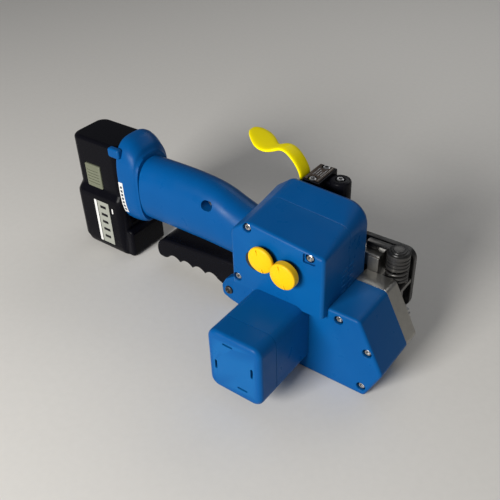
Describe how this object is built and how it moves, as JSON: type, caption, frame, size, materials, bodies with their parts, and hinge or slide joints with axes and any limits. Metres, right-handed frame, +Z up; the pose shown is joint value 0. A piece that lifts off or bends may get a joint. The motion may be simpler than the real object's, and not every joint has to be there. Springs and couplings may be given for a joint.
{
  "type": "battery strapping tool",
  "caption": "Hand-held battery tool that tensions, friction-welds and cuts plastic strap, with blue covers, a grip, finger lever, thumb lever and a slide-on battery pack.",
  "frame": {"origin": "middle of the bounding box at the resting plane", "axes": "+X to the nose along the grip, +Y to the open strap side, +Z up"},
  "size_m": [0.3734, 0.1612, 0.162],
  "materials": {
    "blue_plastic": "satin moulded royal blue plastic",
    "black_plastic": "semi-gloss black plastic",
    "rubber": "matt black rubber",
    "yellow_plastic": "lemon yellow plastic coated metal",
    "amber_plastic": "amber yellow button plastic",
    "aluminium": "brushed machined aluminium",
    "steel": "machined steel",
    "black_steel": "blackened steel",
    "board": "solder mask green",
    "latch_plastic": "greenish grey plastic",
    "nameplate": "dark printed foil, blank",
    "cell_wrap": "shrink sleeve"
  },
  "bodies": {
    "tool_body": {"main_frame": "aluminium", "base_plate": "black_steel", "gripper_insert": "steel", "bearing_block": "aluminium", "side_plate": "black_steel", "main_cover": "blue_plastic", "gear_cover": "blue_plastic", "motor_housing": "blue_plastic", "motor_can": "steel", "idler_shaft": "steel", "drive_belt": "rubber", "rocker_spring": "black_steel", "spring_cap": "black_steel", "sealer_housing": "black_plastic", "nameplate": "nameplate", "weld_lever_pin": "steel", "handle_near_half": "blue_plastic", "handle_far_half": "blue_plastic", "handle_collar": "blue_plastic", "handle_screw": "steel", "contact_block": "black_plastic", "lever_bracket": "blue_plastic", "lever_pin": "black_steel", "circuit_board": "board", "tension_boot": "rubber", "weld_boot": "rubber", "tension_switch": "black_plastic", "weld_switch": "black_plastic", "cover_screw_1": "steel", "cover_screw_2": "steel", "cover_screw_3": "steel", "gear_cover_screw_1": "steel", "gear_cover_screw_2": "steel", "gear_cover_screw_3": "steel", "sealer_screw_1": "steel", "sealer_screw_2": "steel", "sealer_screw_3": "steel"},
    "finger_lever": {"finger_lever": "black_plastic"},
    "release_link": {"release_link": "steel"},
    "rocker": {"rocker": "black_steel"},
    "feed": {"feed_shaft": "steel", "feed_wheel": "steel"},
    "idler": {"idler_gear": "steel"},
    "rotor": {"motor_shaft": "steel"},
    "eccentric": {"eccentric_shaft": "steel"},
    "tension_button": {"tension_button": "amber_plastic"},
    "weld_button": {"weld_button": "amber_plastic"},
    "weld_lever": {"weld_lever": "yellow_plastic"},
    "press": {"press_column": "steel", "weld_shoe": "steel"},
    "cutter": {"cutter_blade": "steel"},
    "battery": {"battery_case": "black_plastic", "battery_stalk": "black_plastic", "battery_cells": "cell_wrap"},
    "latch_near": {"battery_latch_near": "latch_plastic"},
    "latch_far": {"battery_latch_far": "latch_plastic"}
  },
  "joints": [
    {"name": "finger_lever_hinge", "type": "hinge", "parent": "tool_body", "child": "finger_lever", "pos_m": [0.01428, 0.0414, 0.02], "axis": [0, 1, 0], "range_deg": [0, 5.5], "stiffness_Nm_per_rad": 8, "springref_deg": -20.05},
    {"name": "release_link_slide", "type": "slide", "parent": "tool_body", "child": "release_link", "axis": [1, 0, 0], "range_m": [0, 0.00154]},
    {"name": "rocker_hinge", "type": "hinge", "parent": "tool_body", "child": "rocker", "pos_m": [0.12628, 0.0514, 0.04], "axis": [0, -1, 0], "range_deg": [0, 8.1], "deforming": ["rocker_spring"]},
    {"name": "feed_spin", "type": "hinge", "parent": "rocker", "child": "feed", "pos_m": [0.15628, 0.0594, 0.026], "axis": [0, 1, 0], "continuous": true},
    {"name": "idler_spin", "type": "hinge", "parent": "tool_body", "child": "idler", "pos_m": [0.12628, 0.0194, 0.04], "axis": [0, 1, 0], "continuous": true},
    {"name": "rotor_spin", "type": "hinge", "parent": "tool_body", "child": "rotor", "pos_m": [0.09478, -0.0206, 0.043], "axis": [0, 1, 0], "continuous": true},
    {"name": "eccentric_spin", "type": "hinge", "parent": "tool_body", "child": "eccentric", "pos_m": [0.08128, 0.0294, 0.024], "axis": [0, 1, 0], "continuous": true},
    {"name": "tension_button_press", "type": "slide", "parent": "tool_body", "child": "tension_button", "axis": [0, 1, 0], "range_m": [0, 0.003], "stiffness_N_per_m": 600, "springref_m": -0.002},
    {"name": "weld_button_press", "type": "slide", "parent": "tool_body", "child": "weld_button", "axis": [0, 1, 0], "range_m": [0, 0.003], "stiffness_N_per_m": 600, "springref_m": -0.002},
    {"name": "weld_lever_hinge", "type": "hinge", "parent": "tool_body", "child": "weld_lever", "pos_m": [0.06328, 0.0614, 0.112], "axis": [0, -1, 0], "range_deg": [0, 25], "stiffness_Nm_per_rad": 1.2, "springref_deg": -20.05},
    {"name": "press_slide", "type": "slide", "parent": "tool_body", "child": "press", "axis": [0, 0, -1], "range_m": [0, 0.0031]},
    {"name": "cutter_slide", "type": "slide", "parent": "tool_body", "child": "cutter", "axis": [0, 0, -1], "range_m": [0, 0.0041]},
    {"name": "battery_slide", "type": "slide", "parent": "tool_body", "child": "battery", "axis": [-1, 0, 0], "range_m": [0, 0.066]},
    {"name": "latch_near_press", "type": "slide", "parent": "battery", "child": "latch_near", "axis": [0, 1, 0], "range_m": [0, 0.002], "stiffness_N_per_m": 600, "springref_m": -0.002},
    {"name": "latch_far_press", "type": "slide", "parent": "battery", "child": "latch_far", "axis": [0, -1, 0], "range_m": [0, 0.002], "stiffness_N_per_m": 600, "springref_m": -0.002}
  ],
  "couplings": [
    {"joint": "release_link_slide", "follows": "finger_lever_hinge", "m_per_rad": 0.016},
    {"joint": "rocker_hinge", "follows": "finger_lever_hinge", "ratio": 1.4546},
    {"joint": "rotor_spin", "follows": "idler_spin", "ratio": -3.1111},
    {"joint": "eccentric_spin", "follows": "idler_spin", "ratio": -3.8291},
    {"joint": "feed_spin", "follows": "idler_spin", "ratio": -0.72727},
    {"joint": "press_slide", "follows": "weld_lever_hinge", "m_per_rad": 0.006875},
    {"joint": "cutter_slide", "follows": "weld_lever_hinge", "m_per_rad": 0.009167}
  ]
}
